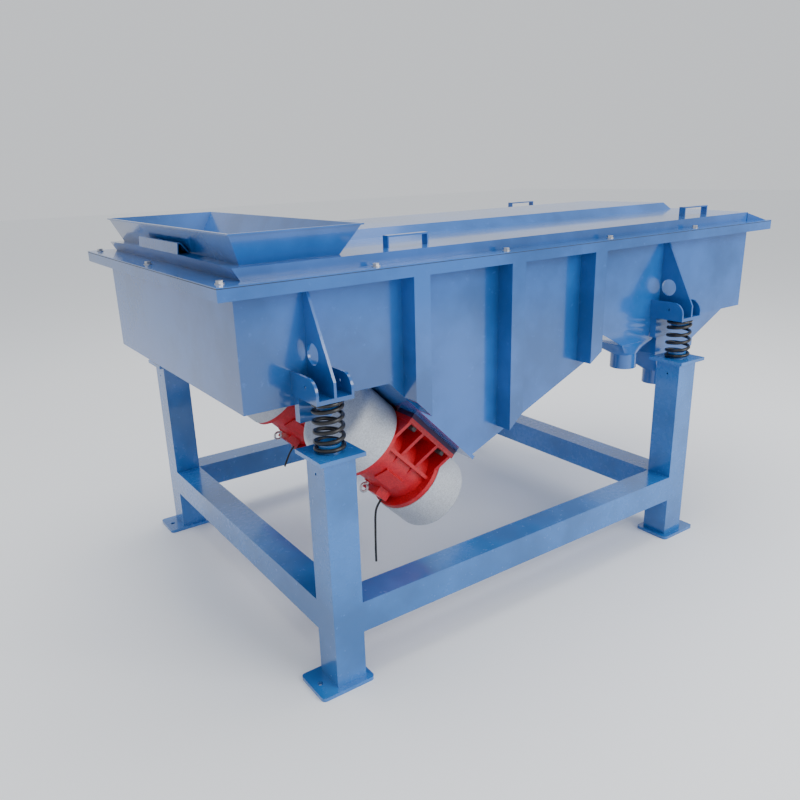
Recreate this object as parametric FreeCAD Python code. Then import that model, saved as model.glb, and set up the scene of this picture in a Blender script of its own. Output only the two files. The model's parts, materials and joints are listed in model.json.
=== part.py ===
"""Linear vibrating sieve: a sprung screen box with two slanted vibration motors on a welded stand.

Millimetres, +Z up, +X from the feed end to the discharge end, -Y is the front.
The origin is on the floor under the middle of the screen box.
"""
import FreeCAD, Part

import math
import os

V = FreeCAD.Vector
UP = V(0, 0, 1)

# ---- Stand ----
base_length = 1653.0        # over the legs, along X
base_width = 1421.0         # over the legs, along Y
base_centre_x = -173.0      # the stand sits towards the feed end
tube = 100.0                # square tube of legs and beams
tube_wall = 5.0
beam_top = 265.0
stand_height = 743.0        # floor to the top of the leg plates
foot_thickness = 12.0
foot_overhang_out = 62.0    # past the leg's outer face, along X
foot_overhang = 20.0        # past its other faces
foot_corner = 14.0
anchor_hole_radius = 9.0
anchor_from_leg = 33.0      # hole centre to the leg's outer face
top_plate_thickness = 12.0
top_plate_overhang = 22.0
vent_hole_radius = 4.0
vent_below_top = 46.0

# ---- Coil springs and their seats ----
spring_height = 150.0
spring_mean_radius = 40.0
spring_wire_radius = 6.0
spring_active_turns = 4
spring_coil_gap = 0.4       # between each closed end coil and the next
spring_ground_off = 2.0     # depth of the flat ground on each end
seat_clearance = 1.5        # between a seat spigot and the coil's inside
seat_height = 24.0
seat_wall = 6.0

# ---- Screen box ----
box_length = 2306.0
box_width = 1134.0
box_bottom = 862.0
plate = 8.0                 # side and end walls
pan_thickness = 6.0
rim_top = 1213.0            # top of the rim tubes, under the gasket
rim_height = 32.0
rim_overhang = 64.0
rim_wall = 4.0

# ---- Stiffener channels on the sides ----
stiffener_width = 58.0
stiffener_thickness = 6.0
stiffener_first_x = -599.0  # centres
stiffener_second_x = -217.0
stiffener_third_x = 169.0

# ---- Motor beam: the wedge under the box ----
motor_plane = 180.0         # x + z on the outer face of the mount plate, which slopes at 45 degrees
mount_plate_thickness = 12.0
mount_plate_bottom_x = -352.0
rear_slope = 0.42
beam_rear_x = 198.0
rear_plate_thickness = 8.0

# ---- Spring brackets ----
bracket_width = 116.0       # along X
bracket_plate_thickness = 12.0
bracket_reach = 708.0       # outer edge of the base plates, from the middle
rib_thickness = 8.0
ear_height = 56.0
ear_corner = 42.0
ear_hole_radius = 5.0
gusset_knee = 42.0          # height of the gusset's upright outer edge
gusset_top_reach = 18.0     # how far the gusset stands out under the rim
lifting_hole_radius = 31.0
lifting_hole_height = 100.0 # above the base plate
lifting_hole_from_wall = 36.0
pad_depth = 26.0
pad_height = 78.0
pad_side_gap = 7.0
pad_wall = 6.0

# ---- Vibration motors, described along their own axis ----
motor_spacing = 665.0       # between the two shafts
motor_from_tip = 132.0      # middle of the motor to the mount plate's lower tip, along the slope
motor_axis_height = 130.0   # shaft to the sole of the feet
packing_thickness = 15.0
packing_inner_y = 70.0      # a strip under each row of feet, clear of the round flanges
motor_flange_radius = 140.0
motor_flange_thickness = 26.0
motor_body_length = 272.0   # over the two flanges
motor_drum_radius = 108.0
motor_drum_wall = 10.0
motor_cap_radius = 143.0
motor_cap_length = 147.0
motor_cap_wall = 3.0
motor_cap_corner = 26.0
cap_lap = 8.0               # how far a cap slips over its flange
cap_gap = 0.2
foot_half_length = 124.0
foot_half_width = 155.0
motor_foot_thickness = 16.0
motor_bolt_along = 80.5
motor_bolt_across = 130.0
motor_bolt_radius = 10.0
motor_bolt_head = 13.0
motor_hole_clearance = 1.0
motor_rib_thickness = 12.0
shaft_radius = 24.0
shaft_length = 508.0
bearing_radius = 52.0
bearing_width = 24.0
bearing_fit = 0.05
stator_inner_radius = 62.0
stator_length = 170.0
air_gap = 0.5
weight_radius = 118.0
weight_thickness = 36.0
weight_hub_radius = 40.0
weight_from_flange = 26.0
terminal_length = 58.0
terminal_width = 84.0
terminal_top = 132.0        # its outer face, from the shaft
terminal_middle = 53.0      # along the shaft, from the motor's middle
terminal_cover = 8.0
gland_radius = 13.0
gland_length = 20.0
lead_radius = 4.0
eye_ring_radius = 15.0
eye_bar_radius = 4.5
eye_from_shaft = 134.0
eye_collar_radius = 7.0
eye_boss_radius = 16.0
eye_boss_height = 3.0       # above the drum

# ---- Cover, raised panel and feed hopper ----
gasket_thickness = 2.0
cover_sheet = 3.0
cover_edge_height = 36.0    # from the rim tubes' top to the deck at its edge
cover_crown = 8.0           # rise of the deck towards the raised panel
cover_feed_setback = 28.0   # foot of the feed-end wall behind the box end
cover_end_setback = 7.0
corner_gusset = 52.0
panel_half_width = 240.0
panel_height = 29.0
panel_slope = 24.0
panel_start_x = -782.0
panel_end_x = 1088.0
hopper_bottom_x0 = -1110.0
hopper_bottom_x1 = -800.0
hopper_half_width = 525.0
hopper_height = 76.0
hopper_flare_x0 = 33.0
hopper_flare_x1 = 54.0
hopper_flare_y = 30.0
hopper_sheet = 4.0
hopper_lip = 18.0
handle_length = 150.0
handle_height = 38.0
handle_width = 26.0
handle_bar = 5.0
handle_y = 490.0
handle_feed_x = -552.0
handle_discharge_x = 880.0
channel_length = 372.0
channel_width = 50.0
channel_height = 32.0
channel_taper = 12.0
bolt_radius = 6.0
bolt_head_radius = 10.0
bolt_head_height = 7.5
washer_radius = 13.0
washer_thickness = 2.0
side_bolt_pitch = 490.0
end_bolt_pitch = 575.0

# ---- Screen deck inside the box ----
deck_end_x = 590.0
deck_feed_gap = 6.0
deck_rail = 40.0
deck_rail_thickness = 5.0
deck_rail_z = 1030.0        # top of the rails
tray_height = 34.0
tray_bar = 24.0
tray_sheet = 2.0
tray_cells_long = 8
tray_cells_wide = 5
ball_radius = 14.0
screen_bar = 30.0
screen_height = 26.0
mesh_thickness = 1.5
deck_side_gap = 3.0

# ---- Discharge hoppers and round spouts ----
undersize_x0 = 280.0
partition_x = 600.0
oversize_x1 = 1025.0
partition_thickness = 5.0
chute_sheet = 4.0
spout_y = -500.0
spout_radius = 50.0
spout_wall = 3.0
undersize_spout_x = 489.0
undersize_spout_bottom = 694.0
oversize_spout_x = 700.0
oversize_spout_bottom = 592.0
spout_length = 56.0

# ---- Derived places ----
base_x0 = base_centre_x - base_length / 2
base_x1 = base_centre_x + base_length / 2
leg_centres = [(x, y)
               for x in (base_x0 + tube / 2, base_x1 - tube / 2)
               for y in (-(base_width - tube) / 2, (base_width - tube) / 2)]
box_x0, box_x1 = -box_length / 2, box_length / 2
side_y = box_width / 2
inner_y = side_y - plate
rim_bottom = rim_top - rim_height
rim_x = box_x1 + rim_overhang
rim_y = side_y + rim_overhang
seat_top = stand_height + spring_height
seat_radius = spring_mean_radius - spring_wire_radius - seat_clearance
ROOT2 = math.sqrt(2)
mount_top = box_bottom - pan_thickness
cover_foot = rim_top + gasket_thickness
deck_edge_z = cover_foot + cover_edge_height
deck_z = deck_edge_z + cover_crown
cover_x0 = box_x0 + cover_feed_setback
cover_x1 = box_x1 - cover_end_setback


# ---- Small modelling helpers ----
def box(x0, x1, y0, y1, z0, z1):
    return Part.makeBox(x1 - x0, y1 - y0, z1 - z0, V(x0, y0, z0))


def rod(radius, length, start, direction=UP):
    return Part.makeCylinder(radius, length, start, direction)


def prism(points, thickness_vector):
    return Part.Face(Part.makePolygon(points + points[:1])).extrude(thickness_vector)


def prism_y(xz, y0, y1):
    return prism([V(x, y0, z) for x, z in xz], V(0, y1 - y0, 0))


def prism_x(yz, x0, x1):
    return prism([V(x0, y, z) for y, z in yz], V(x1 - x0, 0, 0))


def far_side(shape):
    return shape.mirror(V(0, 0, 0), V(0, 1, 0))


def both_sides(shape):
    return [shape, far_side(shape)]


def rectangle(x0, x1, y0, y1, z):
    corners = [V(x0, y0, z), V(x1, y0, z), V(x1, y1, z), V(x0, y1, z)]
    return Part.makePolygon(corners + corners[:1])


def circle_in_quarters(x, y, z, radius):
    corners = [V(x + radius * math.cos(a), y + radius * math.sin(a), z)
               for a in (math.radians(225 + 90 * i) for i in range(5))]
    middles = [V(x + radius * math.cos(a), y + radius * math.sin(a), z)
               for a in (math.radians(270 + 90 * i) for i in range(4))]
    return Part.Wire([Part.Arc(corners[i], middles[i], corners[i + 1]).toShape() for i in range(4)])


def loft(wires):
    return Part.makeLoft(wires, True, True)


def hex_head(across_corners_radius, height, start, direction=UP):
    corners = [V(across_corners_radius * math.cos(math.radians(60 * i)),
                 across_corners_radius * math.sin(math.radians(60 * i)), 0) for i in range(6)]
    head = prism(corners, V(0, 0, height))
    head.Placement = FreeCAD.Placement(start, FreeCAD.Rotation(UP, direction))
    return head


def export(name, shapes):
    shapes = shapes if isinstance(shapes, list) else [shapes]
    solids = [s for shape in shapes for s in shape.Solids]
    Part.makeCompound(solids).exportStep("parts/" + name + ".step")


# ---- Stand ----
def square_tube(start, length, axis):
    """A square tube that starts at the middle of its end and runs along +X, +Y or +Z."""
    half, inner = tube / 2, tube / 2 - tube_wall
    outer = Part.makeBox(tube, tube, length, V(-half, -half, 0))
    hollow = Part.makeBox(2 * inner, 2 * inner, length, V(-inner, -inner, 0))
    pipe = outer.cut(hollow)
    pipe.Placement = FreeCAD.Placement(start, FreeCAD.Rotation(UP, axis))
    return pipe


def leg(x, y):
    post = square_tube(V(x, y, foot_thickness), stand_height - top_plate_thickness - foot_thickness, UP)
    vent = rod(vent_hole_radius, tube_wall + 2,
               V(x - tube / 2 - 1, y, stand_height - top_plate_thickness - vent_below_top), V(1, 0, 0))
    return post.cut(vent)


def foot_plate(x, y):
    outward = -1 if x < base_centre_x else 1
    out_edge = x + outward * (tube / 2 + foot_overhang_out)
    in_edge = x - outward * (tube / 2 + foot_overhang)
    half = tube / 2 + foot_overhang
    sheet = box(min(out_edge, in_edge), max(out_edge, in_edge), y - half, y + half, 0, foot_thickness)
    upright = [e for e in sheet.Edges if abs(e.tangentAt(e.FirstParameter).z) > 0.9]
    sheet = sheet.makeFillet(foot_corner, upright)
    hole_x = x + outward * (tube / 2 + anchor_from_leg)
    return sheet.cut(rod(anchor_hole_radius, foot_thickness + 2, V(hole_x, y, -1)))


def top_plate(x, y):
    half = tube / 2 + top_plate_overhang
    return box(x - half, x + half, y - half, y + half, stand_height - top_plate_thickness, stand_height)


def spring_seat(x, y, z):
    ring = rod(seat_radius, seat_height, V(x, y, z))
    return ring.cut(rod(seat_radius - seat_wall, seat_height + 2, V(x, y, z - 1)))


def coil_spring(x, y):
    """Round wire with one closed coil and a ground flat at each end, open turns between."""
    low = spring_wire_radius - spring_ground_off
    high = spring_height - low
    turns = spring_active_turns + 2
    closed_rise = 2 * spring_wire_radius + spring_coil_gap
    pitch = (high - low - 2 * closed_rise) / spring_active_turns

    def height(turn):
        from_bottom = low + closed_rise * min(turn, 1) + pitch * max(turn - 1, 0)
        from_top = high - closed_rise * min(turns - turn, 1) - pitch * max(turns - turn - 1, 0)
        return max(low, min(high, from_bottom if turn < turns / 2 else from_top))

    points = []
    for step in range(12 * turns + 1):
        turn, angle = step / 12, 2 * math.pi * step / 12
        eased = sum(height(turn + shift) for shift in (-0.2, -0.1, 0, 0.1, 0.2)) / 5
        points.append(V(spring_mean_radius * math.cos(angle), spring_mean_radius * math.sin(angle), eased))
    path = Part.BSplineCurve()
    path.interpolate(points)
    section = Part.Wire(Part.makeCircle(spring_wire_radius, points[0], path.tangent(path.FirstParameter)[0]))
    wire = Part.Wire(path.toShape()).makePipeShell([section], True, True)
    reach = spring_mean_radius + 2 * spring_wire_radius
    ground = wire.common(box(-reach, reach, -reach, reach, 0, spring_height)).Solids[0]
    ground.translate(V(x, y, stand_height))
    return ground


def make_stand():
    names = ["leg_feed_near", "leg_feed_far", "leg_discharge_near", "leg_discharge_far"]
    for name, (x, y) in zip(names, leg_centres):
        export(name, leg(x, y))
    beam_z = beam_top - tube / 2
    long_y = (base_width - tube) / 2
    long_beam = square_tube(V(base_x0 + tube, -long_y, beam_z), base_length - 2 * tube, V(1, 0, 0))
    export("long_beam_near", long_beam)
    export("long_beam_far", far_side(long_beam))
    for name, x in (("cross_beam_feed", base_x0 + tube / 2), ("cross_beam_discharge", base_x1 - tube / 2)):
        export(name, square_tube(V(x, -long_y + tube / 2, beam_z), base_width - 2 * tube, V(0, 1, 0)))
    export("foot_plates", [foot_plate(x, y) for x, y in leg_centres])
    export("leg_top_plates", [top_plate(x, y) for x, y in leg_centres])
    export("lower_spring_seats", [spring_seat(x, y, stand_height) for x, y in leg_centres])
    export("coil_springs", [coil_spring(x, y) for x, y in leg_centres])


# ---- Screen box ----
def stiffener(x, cut_line):
    """A channel against the side plate; cut_line is a wedge of space below its slanted foot."""
    x0, x1 = x - stiffener_width / 2, x + stiffener_width / 2
    outer = box(x0, x1, -rim_y, -side_y, 0, rim_bottom)
    inner = box(x0 + stiffener_thickness, x1 - stiffener_thickness,
                -rim_y + stiffener_thickness, -side_y, -1, rim_bottom + 1)
    return outer.cut(inner).cut(prism_y(cut_line, -rim_y - 1, -side_y + 1))


def below(x0, z0, x1, z1):
    """The outline of everything under the line through two points, stretched well past both."""
    slope = (z1 - z0) / (x1 - x0)
    left, right = x0 - 200, x1 + 200
    return [(left, z0 - 200 * slope), (right, z1 + 200 * slope), (right, -10), (left, -10)]


def make_box():
    side = box(box_x0, box_x1, -side_y, -inner_y, box_bottom, rim_top)
    export("side_plate_near", side)
    export("side_plate_far", far_side(side))
    export("feed_end_wall", box(box_x0, box_x0 + plate, -inner_y, inner_y, box_bottom, rim_top))
    export("discharge_end_wall", box(box_x1 - plate, box_x1, -inner_y, inner_y, box_bottom, rim_top))
    pan = [box(box_x0 + plate, undersize_x0, -inner_y, inner_y, box_bottom, box_bottom + pan_thickness),
           box(oversize_x1, box_x1 - plate, -inner_y, inner_y, box_bottom, box_bottom + pan_thickness)]
    export("bottom_pan", pan)

    def rim_tube(x0, x1, y0, y1):
        outer = box(x0, x1, y0, y1, rim_bottom, rim_top)
        return outer.cut(box(x0 + rim_wall, x1 - rim_wall, y0 + rim_wall, y1 - rim_wall,
                             rim_bottom + rim_wall, rim_top - rim_wall))
    side_tube = rim_tube(box_x0, box_x1, -rim_y, -side_y)
    end_tubes = [rim_tube(-rim_x, box_x0, -rim_y, rim_y), rim_tube(box_x1, rim_x, -rim_y, rim_y)]
    export("rim_tubes", both_sides(side_tube) + end_tubes)

    half = stiffener_width / 2
    first, second, third = stiffener_first_x, stiffener_second_x, stiffener_third_x
    cuts = [(first, below(first - half, motor_plane - first + half, first + half, motor_plane - first - half)),
            (second, below(second - half, 629, second + half, 678)),
            (third, below(third - half, 790, third + half, 827))]
    export("side_stiffeners", [s for x, cut in cuts for s in both_sides(stiffener(x, cut))])


def make_motor_beam():
    tip_x = mount_plate_bottom_x
    tip_z = motor_plane - tip_x
    thick = mount_plate_thickness * ROOT2
    top_x = motor_plane - mount_top - pan_thickness
    mount = prism_y([(top_x, box_bottom), (tip_x, tip_z), (tip_x + thick / 2, tip_z + thick / 2),
                     (top_x + thick, box_bottom)], -side_y, side_y)
    export("motor_mount_plate", mount.cut(mount_plate_holes()))
    corner_x = tip_x - 2
    corner_z = motor_plane + thick - corner_x
    rear_z = corner_z + rear_slope * (beam_rear_x - corner_x)
    outline = [(top_x + thick, box_bottom), (corner_x, corner_z), (beam_rear_x, rear_z),
               (beam_rear_x, box_bottom)]
    side = prism_y(outline, -side_y, -inner_y)
    export("motor_beam_sides", both_sides(side))
    drop = rear_plate_thickness * math.hypot(1, rear_slope)
    rear = prism_y([(corner_x + 14, corner_z + 14 * rear_slope), (beam_rear_x, rear_z),
                    (beam_rear_x, rear_z + drop), (corner_x + 14, corner_z + 14 * rear_slope + drop)],
                   -inner_y, inner_y)
    export("motor_beam_rear_plate", rear)


# ---- Spring brackets ----
def make_brackets():
    top = seat_top + bracket_plate_thickness
    base_plates, gussets, ears, pads, seats = [], [], [], [], []
    for x, y in leg_centres[::2]:
        x0, x1 = x - bracket_width / 2, x + bracket_width / 2
        base_plates += both_sides(box(x0, x1, -bracket_reach, -side_y, seat_top, top))

        face = prism_x([(-side_y, top), (-side_y, rim_bottom), (-side_y - gusset_top_reach, rim_bottom),
                        (-bracket_reach, top + gusset_knee), (-bracket_reach, top)],
                       x - rib_thickness / 2, x + rib_thickness / 2)
        hole = rod(lifting_hole_radius, rib_thickness + 2,
                   V(x - rib_thickness / 2 - 1, -side_y - lifting_hole_from_wall, top + lifting_hole_height),
                   V(1, 0, 0))
        gussets += both_sides(face.cut(hole))

        for ear_x in (x0, x1 - rib_thickness):
            ear = box(ear_x, ear_x + rib_thickness, -bracket_reach, -side_y, top, top + ear_height)
            corner = [e for e in ear.Edges
                      if abs(e.CenterOfMass.y + bracket_reach) < 0.1
                      and abs(e.CenterOfMass.z - top - ear_height) < 0.1]
            ear = ear.makeFillet(ear_corner, corner)
            pin_hole = rod(ear_hole_radius, rib_thickness + 2,
                           V(ear_x - 1, -bracket_reach + 1.4 * ear_corner, top + ear_height / 2), V(1, 0, 0))
            ears += both_sides(ear.cut(pin_hole))

        pad = box(x0 + pad_side_gap, x1 - pad_side_gap, -side_y - pad_depth, -side_y,
                  seat_top - pad_height, seat_top)
        pads += both_sides(pad.cut(box(x0 + pad_side_gap + pad_wall, x1 - pad_side_gap - pad_wall,
                                       -side_y - pad_depth + pad_wall, -side_y,
                                       seat_top - pad_height - 1, seat_top + 1)))
        seats += both_sides(spring_seat(x, y, seat_top - seat_height))
    export("bracket_base_plates", base_plates)
    export("bracket_gussets", gussets)
    export("bracket_ears", ears)
    export("bracket_pads", pads)
    export("upper_spring_seats", seats)


# ---- Cover, raised panel and feed hopper ----
def make_cover():
    top_x0 = box_x0
    foot, edge, crown, sheet = cover_foot, deck_edge_z, deck_z, cover_sheet

    def hat(inset, lower):
        """The closed space under the deck, inset by the sheet and its top lowered by it."""
        y = side_y - inset
        body = prism_x([(-y, foot), (-y, edge - lower), (-panel_half_width, crown - lower),
                        (panel_half_width, crown - lower), (y, edge - lower), (y, foot)],
                       top_x0 - 10, cover_x1 - inset)
        behind = prism_y([(top_x0 - 20, foot - 1), (cover_x0 + inset, foot - 1), (cover_x0 + inset, foot),
                          (top_x0 + inset, edge + 10), (top_x0 - 20, edge + 10)], -side_y - 1, side_y + 1)
        return body.cut(behind)

    flange = box(-rim_x, rim_x, -rim_y, rim_y, foot, foot + sheet)
    cover = flange.fuse(hat(0, 0)).cut(hat(sheet, sheet))
    tip = V(cover_x1 - sheet, -side_y, foot + sheet)
    gusset = prism([tip, tip + V(corner_gusset, -corner_gusset, 0), V(tip.x, tip.y, edge - sheet)],
                   V(-sheet / ROOT2, -sheet / ROOT2, 0))
    cover = cover.fuse(both_sides(gusset))
    opening = box(hopper_bottom_x0 + hopper_sheet, hopper_bottom_x1 - hopper_sheet,
                  -hopper_half_width + hopper_sheet, hopper_half_width - hopper_sheet, edge - 20, crown + 20)
    cover = cover.cut(opening).cut(Part.makeCompound(bolt_shanks(bolt_radius + 0.5)))
    export("cover", cover.removeSplitter())
    gasket = box(-rim_x, rim_x, -rim_y, rim_y, rim_top, foot).cut(
        box(box_x0 + plate, box_x1 - plate, -inner_y, inner_y, rim_top - 1, foot + 1))
    export("cover_gasket", gasket.cut(Part.makeCompound(bolt_shanks(bolt_radius + 0.5))))


def bolt_places():
    middle_y, middle_x = side_y + rim_overhang / 2, box_x1 + rim_overhang / 2
    along = [(side_bolt_pitch * k, s * middle_y) for k in (-1.5, -0.5, 0.5, 1.5) for s in (-1, 1)]
    ends = [(s * middle_x, end_bolt_pitch * k) for k in (-1, 0, 1) for s in (-1, 1)]
    return along + ends


def bolt_shanks(radius):
    return [rod(radius, cover_sheet + gasket_thickness, V(x, y, rim_top)) for x, y in bolt_places()]


def make_cover_fittings():
    top = cover_foot + cover_sheet
    bolts = []
    for x, y in bolt_places():
        shank = rod(bolt_radius, top - rim_top, V(x, y, rim_top))
        washer = rod(washer_radius, washer_thickness, V(x, y, top))
        head = hex_head(bolt_head_radius, bolt_head_height, V(x, y, top + washer_thickness))
        bolts.append(shank.fuse([washer, head]).removeSplitter())
    export("cover_bolts", bolts)

    w, h, s = panel_half_width, panel_height, panel_slope
    x0, x1 = panel_start_x, panel_end_x
    outer = loft([rectangle(x0, x1, -w, w, deck_z), rectangle(x0 + s, x1 - s, -w + s, w - s, deck_z + h)])
    t = cover_sheet
    inner = loft([rectangle(x0 + t, x1 - t, -w + t, w - t, deck_z),
                  rectangle(x0 + s + t, x1 - s - t, -w + s + t, w - s - t, deck_z + h - t)])
    export("raised_panel", outer.cut(inner))

    deck_here = deck_edge_z + cover_crown * (side_y - handle_y - handle_width / 2) / (side_y - panel_half_width)
    seat_slope = cover_crown / (side_y - panel_half_width)
    handles = []
    for x in (handle_feed_x, handle_discharge_x):
        x0, x1 = x - handle_length / 2, x + handle_length / 2
        outline = [(x0, 0), (x0, handle_height), (x1, handle_height), (x1, 0), (x1 - handle_bar, 0),
                   (x1 - handle_bar, handle_height - handle_bar), (x0 + handle_bar, handle_height - handle_bar),
                   (x0 + handle_bar, 0)]
        y0 = -handle_y - handle_width / 2
        bar = prism_y([(px, pz + deck_here - 2) for px, pz in outline], y0, y0 + handle_width)
        under = prism_x([(y0 - 1, 0), (y0 - 1, deck_here - seat_slope), (y0 + handle_width + 1,
                         deck_here + seat_slope * (handle_width + 1)), (y0 + handle_width + 1, 0)],
                        x0 - 1, x1 + 1)
        handles += both_sides(bar.cut(under))
    export("cover_handles", handles)


def make_feed_hopper():
    x0, x1, y, t = hopper_bottom_x0, hopper_bottom_x1, hopper_half_width, hopper_sheet
    fx0, fx1, fy = hopper_flare_x0, hopper_flare_x1, hopper_flare_y
    low, high = deck_edge_z - 12, deck_z + hopper_height

    def funnel(inset):
        share = (low - deck_z) / hopper_height
        return loft([rectangle(x0 - fx0 * share + inset, x1 + fx1 * share - inset,
                               -y - fy * share + inset, y + fy * share - inset, low),
                     rectangle(x0 - fx0 + inset, x1 + fx1 - inset, -y - fy + inset, y + fy - inset, high)])
    lip = box(x0 - fx0 - 4, x1 + fx1 + 4, -y - fy - 4, y + fy + 4, high - t, high).cut(
        box(x0 - fx0 - 4 + hopper_lip, x1 + fx1 + 4 - hopper_lip,
            -y - fy - 4 + hopper_lip, y + fy + 4 - hopper_lip, high - t - 1, high + 1))
    walls = funnel(0).fuse(lip).cut(funnel(t))
    deck = prism_x([(-side_y, 0), (-side_y, deck_edge_z), (-panel_half_width, deck_z),
                    (panel_half_width, deck_z), (side_y, deck_edge_z), (side_y, 0)], box_x0 - 50, x1 + 100)
    inside = box(x0 + t, x1 - t, -y + t, y - t, low - 1, high)
    export("feed_hopper", walls.cut(deck.cut(inside)).removeSplitter())

    half, w, h, s = channel_length / 2, channel_width, channel_height, channel_taper
    left = box_x0 + 2
    right = x0 - 1
    bottom = deck_z
    profile = [(left, bottom), (left + 3, bottom + h), (right - s - fx0 * h / hopper_height, bottom + h),
               (right - 2, bottom), (right - 5, bottom), (right - s - 3 - fx0 * h / hopper_height, bottom + h - 3),
               (left + 6, bottom + h - 3), (left + 3, bottom)]
    export("feed_end_channel", prism_y(profile, -half, half))


# ---- Screen deck ----
def make_screen_deck():
    x0, x1 = box_x0 + plate + deck_feed_gap, deck_end_x
    y = inner_y - deck_side_gap
    rail_y = inner_y
    rail = prism_x([(-rail_y, deck_rail_z), (-rail_y, deck_rail_z - deck_rail),
                    (-rail_y + deck_rail_thickness, deck_rail_z - deck_rail),
                    (-rail_y + deck_rail_thickness, deck_rail_z - deck_rail_thickness),
                    (-rail_y + deck_rail, deck_rail_z - deck_rail_thickness),
                    (-rail_y + deck_rail, deck_rail_z)], x0, x1)
    export("deck_rails", both_sides(rail))

    z0, z1 = deck_rail_z, deck_rail_z + tray_height
    pitch_x = (x1 - x0 - tray_bar) / tray_cells_long
    pitch_y = (2 * y - tray_bar) / tray_cells_wide
    tray = box(x0, x1, -y, y, z0, z1)
    cells = [box(x0 + tray_bar + i * pitch_x, x0 + (i + 1) * pitch_x,
                 -y + tray_bar + j * pitch_y, -y + (j + 1) * pitch_y, z0 + tray_sheet, z1 + 1)
             for i in range(tray_cells_long) for j in range(tray_cells_wide)]
    export("ball_tray", tray.cut(Part.makeCompound(cells)))
    balls = [Part.makeSphere(ball_radius, V(x0 + tray_bar / 2 + (i + 0.5) * pitch_x,
                                            -y + tray_bar / 2 + (j + 0.5) * pitch_y,
                                            z0 + tray_sheet + ball_radius + 0.1))
             for i in range(tray_cells_long) for j in range(tray_cells_wide)]
    export("rubber_balls", balls)

    z2 = z1 + screen_height
    frame = box(x0, x1, -y, y, z1, z2)
    span_x = (x1 - x0 - screen_bar) / 3
    windows = [box(x0 + screen_bar + i * span_x, x0 + (i + 1) * span_x, -y + screen_bar, y - screen_bar,
                   z1 - 1, z2 + 1) for i in range(3)]
    export("screen_frame", frame.cut(Part.makeCompound(windows)))
    export("screen_mesh", box(x0, x1, -y, y, z2, z2 + mesh_thickness))
    export("discharge_partition",
           box(deck_end_x + 2, deck_end_x + 2 + partition_thickness, -inner_y, inner_y,
               box_bottom, deck_rail_z + tray_height))


# ---- Discharge hoppers ----
def make_discharge():
    lip, t, y = 4.0, chute_sheet, inner_y

    def chute(x0, x1, sections, bottom_x, bottom_z):
        """A tapering trough from the box bottom to the round spout."""
        def skin(inset):
            wires = [rectangle(x0 + inset, x1 - inset, -side_y + inset, side_y - inset, box_bottom)]
            wires += [rectangle(a + inset, b - inset, c + inset, d - inset, z) for a, b, c, d, z in sections]
            return loft(wires)
        a, b, c, d, z = sections[-1]
        throat = [loft([rectangle(a + i, b - i, c + i, d - i, z),
                        circle_in_quarters(bottom_x, spout_y, bottom_z, spout_radius - i)]) for i in (0, t)]
        return skin(0).fuse(throat[0]).cut(skin(t).fuse(throat[1])).removeSplitter()

    r = spout_radius
    seam = undersize_spout_bottom + spout_length
    xs = undersize_spout_x
    under = chute(undersize_x0, partition_x - 6, [(xs - 92, xs + 88, spout_y - 62, spout_y + 200, seam + 52)],
                  xs, seam)
    export("undersize_hopper", under)
    seam = oversize_spout_bottom + spout_length
    xs = oversize_spout_x
    over = chute(partition_x, oversize_x1,
                 [(xs - 96, xs + 145, spout_y - 62, spout_y + 320, seam + 117),
                  (xs - 96, xs + 145, spout_y - 62, spout_y + 260, seam + 86)], xs, seam)
    export("oversize_hopper", over)
    spouts = []
    for x, z in ((undersize_spout_x, undersize_spout_bottom), (oversize_spout_x, oversize_spout_bottom)):
        pipe = rod(r, spout_length, V(x, spout_y, z))
        spouts.append(pipe.cut(rod(r - spout_wall, spout_length + 2, V(x, spout_y, z - 1))))
    export("outlet_spouts", spouts)


# ---- Vibration motors ----
def to_machine(shape, side):
    """Motor frame to machine frame: +X becomes down the slope and +Z becomes the slope's upward normal."""
    normal_place = motor_plane / ROOT2 - packing_thickness - motor_axis_height
    slope_place = (2 * mount_plate_bottom_x - motor_plane) / ROOT2 - motor_from_tip
    centre = V((normal_place + slope_place) / ROOT2, side * motor_spacing / 2,
               (normal_place - slope_place) / ROOT2)
    placed = shape.copy()
    placed.transformShape(FreeCAD.Placement(centre, FreeCAD.Rotation(V(0, 1, 0), 45)).toMatrix())
    return placed


def along(radius, x0, x1):
    return rod(radius, x1 - x0, V(x0, 0, 0), V(1, 0, 0))


def at_foot_bolts(make):
    return [make(x, y) for x in (-motor_bolt_along, motor_bolt_along)
            for y in (-motor_bolt_across, motor_bolt_across)]


def cast_rib(x):
    """A curved web from under a foot, round the drum to its lower quarter."""
    top = motor_axis_height - motor_foot_thickness
    foot_edge = V(x, foot_half_width - 4, top)
    waist = V(x, motor_drum_radius + 14, 30)
    end = V(x, motor_drum_radius * 0.86, -motor_drum_radius * 0.62)
    inner = V(x, 0.5 * motor_drum_radius, -motor_drum_radius * 0.62)
    inner_top = V(x, 0.5 * motor_drum_radius, top)
    edge = [Part.Arc(foot_edge, waist, end).toShape(), Part.LineSegment(end, inner).toShape(),
            Part.LineSegment(inner, inner_top).toShape(), Part.LineSegment(inner_top, foot_edge).toShape()]
    return Part.Face(Part.Wire(edge)).extrude(V(motor_rib_thickness, 0, 0))


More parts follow.
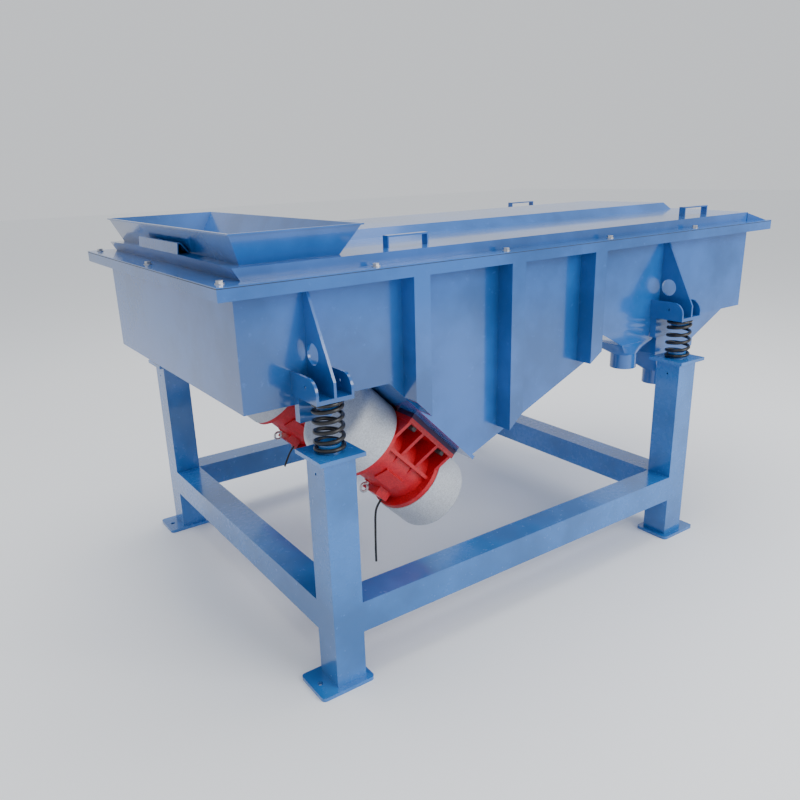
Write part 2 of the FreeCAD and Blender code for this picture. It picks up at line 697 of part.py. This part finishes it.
def motor_housing():
    half, flange_t = motor_body_length / 2, motor_flange_thickness
    shell = along(motor_drum_radius, -half, half)
    rails, ribs = [], []
    sole = motor_axis_height
    for x in (-foot_half_length + 4, -46, 34, foot_half_length - 16):
        ribs += both_sides(cast_rib(x))
    rail = box(-foot_half_length, foot_half_length, motor_drum_radius * 0.5, foot_half_width,
               sole - motor_foot_thickness, sole)
    tie = box(-half, half, motor_drum_radius - 6, motor_drum_radius + 16, 6, 18)
    rails += both_sides(rail) + both_sides(tie)
    flanges = [along(motor_flange_radius, -half, -half + flange_t), along(motor_flange_radius, half - flange_t, half)]
    pad = box(-46, 42, -27, 27, motor_drum_radius - 20, motor_drum_radius + 6)
    pad.rotate(V(0, 0, 0), V(1, 0, 0), 128)
    boss = rod(eye_boss_radius, motor_drum_wall + eye_boss_height, V(0, 0, -motor_drum_radius - eye_boss_height))
    gland_boss = rod(gland_radius + 4, 24, V(motor_terminal_x1() + gland_radius, 0, -motor_drum_radius - 4))
    terminal = box(terminal_middle - terminal_length / 2, motor_terminal_x1(), -terminal_width / 2,
                   terminal_width / 2, -terminal_top + terminal_cover, -motor_drum_radius * 0.8)
    body = shell.fuse(rails + ribs + flanges + [pad, boss, gland_boss, terminal])
    body = body.cut(along(motor_drum_radius - motor_drum_wall, -half + flange_t, half - flange_t))
    body = body.cut(along(bearing_radius + bearing_fit, -half - 1, half + 1))
    holes = at_foot_bolts(lambda x, y: rod(motor_bolt_radius + motor_hole_clearance, motor_foot_thickness + 2,
                                           V(x, y, sole - motor_foot_thickness - 1)))
    return body.cut(holes).removeSplitter()


def motor_terminal_x1():
    return terminal_middle + terminal_length / 2


def end_cap(side):
    half = motor_body_length / 2
    start, end = half - cap_lap, half + motor_cap_length
    wall, corner = motor_cap_wall, motor_cap_corner
    outer = along(motor_cap_radius + cap_gap, start, end)
    outer = outer.makeFillet(corner, [e for e in outer.Edges if abs(e.CenterOfMass.x - end) < 0.1])
    inner = along(motor_cap_radius - wall + cap_gap, start - 1, end - wall)
    inner = inner.makeFillet(corner - wall, [e for e in inner.Edges if abs(e.CenterOfMass.x - end + wall) < 0.1])
    cap = outer.cut(inner)
    return cap if side > 0 else cap.mirror(V(0, 0, 0), V(1, 0, 0))


def eccentric_weight(x0):
    """A sector plate on a hub, hanging to the low side of the shaft."""
    x1 = x0 + weight_thickness
    disc = along(weight_radius, x0, x1)
    upper = box(x0 - 1, x1 + 1, -weight_radius - 1, weight_radius + 1, 0, weight_radius + 1)
    hub = along(weight_hub_radius, x0, x1)
    return disc.cut(upper).fuse(hub).cut(along(shaft_radius + bearing_fit, x0 - 1, x1 + 1)).removeSplitter()


def eye_bolt():
    ring = Part.makeTorus(eye_ring_radius, eye_bar_radius, V(0, 0, -eye_from_shaft), V(0, 1, 0))
    ring_side = eye_ring_radius - eye_from_shaft
    collar = rod(eye_collar_radius, -motor_drum_radius - eye_boss_height - ring_side, V(0, 0, ring_side))
    return ring.fuse(collar).removeSplitter()


def foot_bolt(x, y):
    under = motor_axis_height - motor_foot_thickness
    nut_z = motor_axis_height + packing_thickness + mount_plate_thickness
    shank = rod(motor_bolt_radius, nut_z + 22 - under, V(x, y, under))
    head = hex_head(motor_bolt_radius * 1.73, motor_bolt_head, V(x, y, under - motor_bolt_head))
    nut = hex_head(motor_bolt_radius * 1.73, 16, V(x, y, nut_z))
    return shank.fuse([head, nut]).removeSplitter()


def packing_strip():
    sheet = box(-foot_half_length, foot_half_length, packing_inner_y, foot_half_width,
                motor_axis_height, motor_axis_height + packing_thickness)
    holes = at_foot_bolts(lambda x, y: rod(motor_bolt_radius + motor_hole_clearance,
                                           packing_thickness + 2, V(x, y, motor_axis_height - 1)))
    return sheet.cut(Part.makeCompound(holes))


def mount_plate_holes():
    return [to_machine(rod(motor_bolt_radius + motor_hole_clearance, 60, V(x, y, motor_axis_height)), side)
            for side in (-1, 1) for x in (-motor_bolt_along, motor_bolt_along)
            for y in (-motor_bolt_across, motor_bolt_across)]


def rounded_path(points):
    """Straight runs joined by tangent arcs; prints each arc's radius."""
    edges, start = [], points[0]
    for before, here, after in zip(points, points[1:], points[2:]):
        into, out = (here - before), (after - here)
        half_turn = into.getAngle(out) / 2
        reach = 0.45 * min(into.Length, out.Length)
        arc_in, arc_out = here - into.normalize() * reach, here + out.normalize() * reach
        radius = reach / math.tan(half_turn)
        print("lead bend radius", round(radius, 1))
        bisector = (out - into).normalize()
        middle = here + bisector * (radius / math.cos(half_turn) - radius)
        edges += [Part.LineSegment(start, arc_in).toShape(), Part.Arc(arc_in, middle, arc_out).toShape()]
        start = arc_out
    edges.append(Part.LineSegment(start, points[-1]).toShape())
    return Part.Wire(edges)


def motor_lead(points):
    path = rounded_path(points)
    section = Part.Wire(Part.makeCircle(lead_radius, points[0], points[1] - points[0]))
    return path.makePipeShell([section], True, False)


def make_motors():
    both = (("near", -1), ("far", 1))
    housing = motor_housing()
    half = motor_body_length / 2
    core_length = stator_length - 10
    shaft = along(shaft_radius, -shaft_length / 2, shaft_length / 2)
    rotor = shaft.fuse(along(stator_inner_radius - air_gap, -core_length / 2, core_length / 2)).removeSplitter()
    first = half + weight_from_flange
    weights = [eccentric_weight(first), eccentric_weight(first + weight_thickness + 4),
               eccentric_weight(-first - weight_thickness), eccentric_weight(-first - 2 * weight_thickness - 4)]
    for name, side in both:
        export("motor_housing_" + name, to_machine(housing, side))
        export("motor_end_caps_" + name, [to_machine(end_cap(end), side) for end in (-1, 1)])
        export("rotor_" + name, to_machine(rotor, side))
        export("eccentric_weights_" + name, [to_machine(w, side) for w in weights])
    stator = along(motor_drum_radius - motor_drum_wall - bearing_fit, -stator_length / 2, stator_length / 2)
    stator = stator.cut(along(stator_inner_radius, -stator_length / 2 - 1, stator_length / 2 + 1))
    bearings = []
    for x0 in (-half + 1, half - 1 - bearing_width):
        ring = along(bearing_radius, x0, x0 + bearing_width)
        bearings.append(ring.cut(along(shaft_radius + bearing_fit, x0 - 1, x0 + bearing_width + 1)))
    cover = box(terminal_middle - terminal_length / 2, motor_terminal_x1(), -terminal_width / 2,
                terminal_width / 2, -terminal_top, -terminal_top + terminal_cover)
    gland_x = motor_terminal_x1() + gland_radius
    gland_z = -motor_drum_radius - 4
    gland = rod(gland_radius, gland_length, V(gland_x, 0, gland_z - gland_length))
    shared = {"motor_stators": [stator], "motor_bearings": bearings, "terminal_covers": [cover],
              "cable_glands": [gland], "eye_bolts": [eye_bolt()], "motor_foot_bolts": at_foot_bolts(foot_bolt),
              "motor_packing_strips": both_sides(packing_strip())}
    for name, shapes in shared.items():
        export(name, [to_machine(shape, side) for side in (-1, 1) for shape in shapes])

    exit_local = Part.Vertex(V(gland_x, 0, gland_z - gland_length))
    near_exit, far_exit = (to_machine(exit_local, side).Point for side in (-1, 1))
    near_steps = [(-19, 0, -19), (-27, 1, -49), (-27, 4, -109), (-30, 3, -176), (-28, 6, -240)]
    far_steps = [(-19, 0, -19), (-34, 2, -49), (-48, 3, -80)]
    export("motor_lead_near", motor_lead([near_exit] + [near_exit + V(*s) for s in near_steps]))
    export("motor_lead_far", motor_lead([far_exit] + [far_exit + V(*s) for s in far_steps]))


def main():
    os.makedirs("parts", exist_ok=True)
    make_stand()
    make_box()
    make_motor_beam()
    make_brackets()
    make_cover()
    make_cover_fittings()
    make_feed_hopper()
    make_screen_deck()
    make_discharge()
    make_motors()


main()
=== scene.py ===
"""Look of a linear vibrating sieve: blue enamelled screen box on coil springs, red vibration motors, welded stand.

Everything is in metres in the frame's own axes: +X runs to the discharge end, -Y is the side with the two spouts.
"""
import json
import math

import bpy
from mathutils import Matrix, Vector


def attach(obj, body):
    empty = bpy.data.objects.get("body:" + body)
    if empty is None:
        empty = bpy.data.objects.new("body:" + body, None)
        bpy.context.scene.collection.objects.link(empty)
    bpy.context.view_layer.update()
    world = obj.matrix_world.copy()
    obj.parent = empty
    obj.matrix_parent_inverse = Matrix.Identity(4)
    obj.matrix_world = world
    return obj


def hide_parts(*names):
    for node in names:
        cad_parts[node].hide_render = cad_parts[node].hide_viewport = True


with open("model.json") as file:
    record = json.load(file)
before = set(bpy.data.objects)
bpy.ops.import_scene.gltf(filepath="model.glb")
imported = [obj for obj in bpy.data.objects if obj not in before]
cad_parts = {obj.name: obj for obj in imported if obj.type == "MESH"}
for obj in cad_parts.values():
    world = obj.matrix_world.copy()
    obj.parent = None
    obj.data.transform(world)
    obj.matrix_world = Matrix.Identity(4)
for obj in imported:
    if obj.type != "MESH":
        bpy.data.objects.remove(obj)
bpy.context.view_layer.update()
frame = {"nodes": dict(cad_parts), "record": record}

bpy.ops.object.select_all(action="DESELECT")

# ---- Where it stands ----
# A pale seamless floor under soft light from two large panels and an even sky.
# The camera stands off the feed end's near corner, a little above the cover.
floor_size = 60
floor_colour, floor_roughness = (0.93, 0.94, 0.95), 0.9
sky_colour, sky_strength = (0.93, 0.96, 1.0), 0.85
bpy.ops.mesh.primitive_plane_add(size=floor_size)
floor = bpy.context.object
floor.name = "studio_floor"
paper = bpy.data.materials.new("pale_floor")
paper.use_nodes = True
paper.node_tree.nodes["Principled BSDF"].inputs["Base Color"].default_value = (*floor_colour, 1)
paper.node_tree.nodes["Principled BSDF"].inputs["Roughness"].default_value = floor_roughness
floor.data.materials.append(paper)

sky = bpy.data.worlds.new("soft_sky")
sky.use_nodes = True
sky.node_tree.nodes["Background"].inputs["Color"].default_value = (*sky_colour, 1)
sky.node_tree.nodes["Background"].inputs["Strength"].default_value = sky_strength
bpy.context.scene.world = sky


def soft_panel(name, place, aim, width, height, power):
    """A large area light that faces one point."""
    lamp = bpy.data.lights.new(name, "AREA")
    lamp.shape, lamp.size, lamp.size_y, lamp.energy = "RECTANGLE", width, height, power
    panel = bpy.data.objects.new(name, lamp)
    panel.location = place
    panel.rotation_euler = (Vector(aim) - Vector(place)).to_track_quat("-Z", "Y").to_euler()
    bpy.context.collection.objects.link(panel)


soft_panel("front_light", (1.6, -5.0, 3.2), (0, 0, 0.8), 3.5, 2.5, 190)
soft_panel("top_light", (0.0, 0.5, 5.0), (0, 0, 1.0), 5.0, 4.0, 160)

lens = bpy.data.cameras.new("camera")
lens.sensor_width, lens.lens = 36, 32.97
lens.shift_x, lens.shift_y = 0.0180, 0.0078
camera = bpy.data.objects.new("camera", lens)
camera.location = (-1.8659, -2.3140, 1.4797)
camera.rotation_euler = (math.radians(71.92), math.radians(1.945), math.radians(-34.394))
bpy.context.collection.objects.link(camera)
bpy.context.scene.camera = camera


# ---- Screen box and stand ----
# Bent and welded steel plate and square tube, all sprayed with the same glossy mid-blue enamel.
# The coat varies a little in tone, has a slight orange peel and carries fine specks of dust.
box_colour, box_gloss = (0.012, 0.105, 0.36), 0.16
stand_colour, stand_gloss = (0.014, 0.135, 0.42), 0.2
cloud_scale, dust_scale, peel_scale = 3.0, 45.0, 160.0
dust_share = 0.35
clear_coat, clear_coat_roughness = 0.6, 0.08


class Wire:
    """A value in a shader, which Python's own signs can work on."""

    def __init__(self, tree, source):
        self.tree, self.source = tree, source

    def node(self, kind, settings=None, inputs=None, output=0):
        """Any other node, from its type, its settings and the values or wires of its sockets."""
        made = self.tree.nodes.new("ShaderNode" + kind)
        for name, value in (settings or {}).items():
            setattr(made, name, value)
        for name, value in (inputs or {}).items():
            socket = made.inputs[name]
            if isinstance(value, Wire):
                self.tree.links.new(value.source, socket)
            elif isinstance(value, tuple):
                socket.default_value = (*value, 1)
            else:
                socket.default_value = value
        return Wire(self.tree, made.outputs[output])

    def maths(self, operation, first, second):
        return self.node("Math", {"operation": operation}, {0: first, 1: second})

    def __add__(self, other): return self.maths("ADD", self, other)
    def __radd__(self, other): return self.maths("ADD", other, self)
    def __mul__(self, other): return self.maths("MULTIPLY", self, other)
    def __rmul__(self, other): return self.maths("MULTIPLY", other, self)

    def clamp(self, low, high):
        """0 at or below low, 1 at or above high, smooth between."""
        return self.node("MapRange", {"interpolation_type": "SMOOTHSTEP"},
                         {"Value": self, "From Min": low, "From Max": high})

    def blend(self, first, second):
        """A colour between two, by this value."""
        return self.node("Mix", {"data_type": "RGBA"}, {0: self, 6: first, 7: second}, output=2)

    def noise(self, scale, detail, roughness):
        """Cloudy noise fixed to the piece."""
        where = self.node("TexCoord", output=3)
        return self.node("TexNoise", None, {"Vector": where, "Scale": scale, "Detail": detail,
                                            "Roughness": roughness})


def new_finish(name):
    """A material with its shader, and a wire to start from."""
    finish = bpy.data.materials.new(name)
    finish.use_nodes = True
    return finish, finish.node_tree.nodes["Principled BSDF"], Wire(finish.node_tree, None)


def join(finish, shader, tone, rough, bump):
    """Leads a finish's colour, roughness and relief to its shader."""
    for socket, wire in (("Base Color", tone), ("Roughness", rough), ("Normal", bump)):
        finish.node_tree.links.new(wire.source, shader.inputs[socket])


def brightened(colour, factor, lift=0.0):
    return tuple(min(1.0, c * factor + lift) for c in colour)


def blue_enamel(name, colour, gloss):
    finish, shader, start = new_finish(name)
    cloud = start.noise(cloud_scale, 4.0, 0.55)
    fine = start.noise(dust_scale, 3.0, 0.6)
    tone = cloud.clamp(0.35, 0.65).blend(brightened(colour, 0.82), brightened(colour, 1.25, 0.01))
    dust = fine.clamp(0.62, 0.78) * dust_share
    tone = dust.blend(tone, brightened(colour, 1.6, 0.03))
    rough = cloud * 0.10 + fine * 0.12 + (gloss - 0.05)
    shader.inputs["Coat Weight"].default_value = clear_coat
    shader.inputs["Coat Roughness"].default_value = clear_coat_roughness
    peel = start.noise(peel_scale, 2.0, 0.5)
    bump = start.node("Bump", None, {"Strength": 0.12, "Distance": 0.002, "Height": peel + cloud * 2.0})
    join(finish, shader, tone, rough, bump)
    return finish


slot_of = {part["node"]: part["material_slot"] for part in frame["record"]["subparts"]}
stand_nodes = frame["record"]["behaviour"]["bodies"]["base_frame"]


def cover_slot(slot, finish, on_stand=None):
    """Gives a finish to every node of one slot, or only to those on or off the stand."""
    for name, node in frame["nodes"].items():
        if slot_of[name] == slot and on_stand in (None, name in stand_nodes):
            node.data.materials.clear()
            node.data.materials.append(finish)


cover_slot("blue_enamel", blue_enamel("box_blue_enamel", box_colour, box_gloss), on_stand=False)
cover_slot("blue_enamel", blue_enamel("stand_blue_enamel", stand_colour, stand_gloss), on_stand=True)


# ---- Coil springs ----
# Round spring steel wound cold, the end coils closed and ground flat, then dipped in black lacquer.
# They stand loose over spigots on the legs and under the brackets.
def speckled(name, colour, roughness, metallic=0.0, grain=60.0, relief=0.1):
    """A finish of one colour with a fine grain in tone, sheen and relief."""
    finish, shader, start = new_finish(name)
    speck = start.noise(grain, 4.0, 0.6)
    tone = speck.clamp(0.3, 0.7).blend(brightened(colour, 0.8), brightened(colour, 1.15))
    rough = speck * 0.15 + (roughness - 0.07)
    shader.inputs["Metallic"].default_value = metallic
    bump = start.node("Bump", None, {"Strength": relief, "Distance": 0.001, "Height": speck})
    join(finish, shader, tone, rough, bump)
    return finish


cover_slot("black_spring_steel", speckled("spring_black", (0.012, 0.012, 0.014), 0.3))

# ---- Vibration motors ----
# Cast housings in red enamel with grey painted pressed caps, bolted through dark painted packing strips.
# The rotor and its cast iron weights are bare; the terminal box has a black plastic gland.
casting_grain, cap_grain = 180, 220
cover_slot("motor_red_enamel", speckled("motor_red", (0.55, 0.012, 0.02), 0.35, grain=casting_grain, relief=0.3))
cover_slot("cap_grey_paint", speckled("cap_grey", (0.55, 0.58, 0.62), 0.45, grain=cap_grain, relief=0.2))
cover_slot("packing_paint", speckled("packing", (0.05, 0.015, 0.06), 0.5))
cover_slot("rotor_steel", speckled("rotor", (0.4, 0.4, 0.4), 0.35, 1.0))
cover_slot("weight_iron", speckled("weight", (0.15, 0.15, 0.15), 0.6))
cover_slot("gland_plastic", speckled("gland", (0.02, 0.02, 0.02), 0.5))

# ---- Fasteners and gasket ----
# Zinc plated and blackened hexagon bolts, tightened by hand tools.
# A black rubber sheet lies between the rim tubes and the cover.
cover_slot("zinc_steel", speckled("zinc", (0.55, 0.55, 0.56), 0.35, 1.0))
cover_slot("black_bolt_steel", speckled("bolt_black", (0.03, 0.03, 0.032), 0.4))
cover_slot("gasket_rubber", speckled("gasket", (0.02, 0.02, 0.02), 0.7))

# ---- Screen deck ----
# Steel wire mesh stretched on a frame, with pale rubber balls loose in the tray under it.
# The balls jump against the mesh and keep it from clogging.
cover_slot("screen_wire", speckled("wire", (0.5, 0.5, 0.5), 0.35, 1.0))
cover_slot("ball_rubber", speckled("ball", (0.6, 0.55, 0.45), 0.6))

# ---- Motor leads ----
# A short black rubber flex hangs from each motor's gland, sagging under its own weight.
# Nothing is wired yet, so both end bare in the air.
lead_diameter = 0.008
motor_x, motor_z, motor_y = -0.5479, 0.5228, 0.3325
gland_along, gland_below = 0.095, 0.132
half_root = math.sqrt(0.5)
lead_sheath = speckled("lead", (0.012, 0.012, 0.012), 0.5)
cover_slot("lead_sheath", lead_sheath)


def lead(name, node, side, steps):
    """A round flex along a smooth spline from the gland's mouth; steps are millimetres from there."""
    exit_place = Vector((motor_x + half_root * (gland_along - gland_below), side * motor_y,
                         motor_z - half_root * (gland_along + gland_below)))
    line = bpy.data.curves.new(name, "CURVE")
    line.dimensions = "3D"
    line.bevel_depth = lead_diameter / 2
    line.bevel_resolution = 5
    line.use_fill_caps = True
    spline = line.splines.new("NURBS")
    route = [exit_place] + [exit_place + Vector(step) / 1000 for step in steps]
    spline.points.add(len(route) - 1)
    for point, place in zip(spline.points, route):
        point.co = (*place, 1)
    spline.order_u = 3
    spline.use_endpoint_u = True
    piece = bpy.data.objects.new(name, line)
    bpy.context.collection.objects.link(piece)
    line.materials.append(lead_sheath)
    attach(piece, "screen_box")
    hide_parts(node)


lead("flex_near", "motor_lead_near", -1,
     [(-19, 0, -19), (-27, 1, -49), (-27, 4, -109), (-30, 3, -176), (-28, 6, -240)])
lead("flex_far", "motor_lead_far", 1, [(-19, 0, -19), (-34, 2, -49), (-48, 3, -80)])
